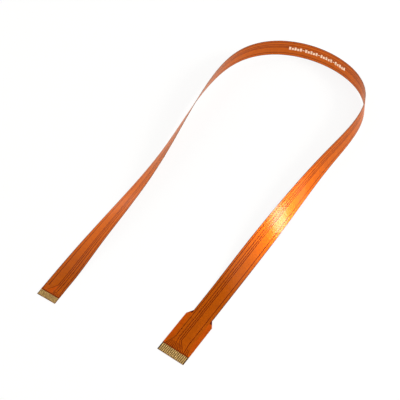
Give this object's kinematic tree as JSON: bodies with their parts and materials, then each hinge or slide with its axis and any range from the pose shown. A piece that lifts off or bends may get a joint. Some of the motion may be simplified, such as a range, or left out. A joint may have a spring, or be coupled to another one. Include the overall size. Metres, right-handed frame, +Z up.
{
  "type": "flat flexible printed cable",
  "caption": "Flat flexible cable of copper tracks between two amber films, with a fine-pitch tail at one end and a wider tail at the other, lying in an open loop.",
  "frame": {"origin": "on the table, under the centre of the cable's outline as it lies", "axes": "+Z up from the table; +Y from the two tails towards the bend; +X from the narrow tail towards the wide tail"},
  "size_m": [0.0958, 0.2288, 0.0141],
  "materials": {
    "base_film": "satin",
    "cover_film": "gloss",
    "stiffener": "satin",
    "conductor": "satin",
    "contact": "gloss"
  },
  "bodies": {
    "root": {"base_film": "base_film", "cover_film": "cover_film", "narrow_stiffener": "stiffener", "wide_stiffener": "stiffener", "conductor_1": "conductor", "conductor_2": "conductor", "conductor_3": "conductor", "conductor_4": "conductor", "conductor_5": "conductor", "conductor_6": "conductor", "conductor_7": "conductor", "conductor_8": "conductor", "conductor_9": "conductor", "conductor_10": "conductor", "conductor_11": "conductor", "conductor_12": "conductor", "conductor_13": "conductor", "conductor_14": "conductor", "conductor_15": "conductor", "spare_contact_11": "contact", "spare_contact_12": "contact", "spare_contact_13": "contact", "spare_contact_14": "contact", "spare_contact_15": "contact", "spare_contact_16": "contact", "spare_contact_19": "contact"}
  },
  "joints": []
}
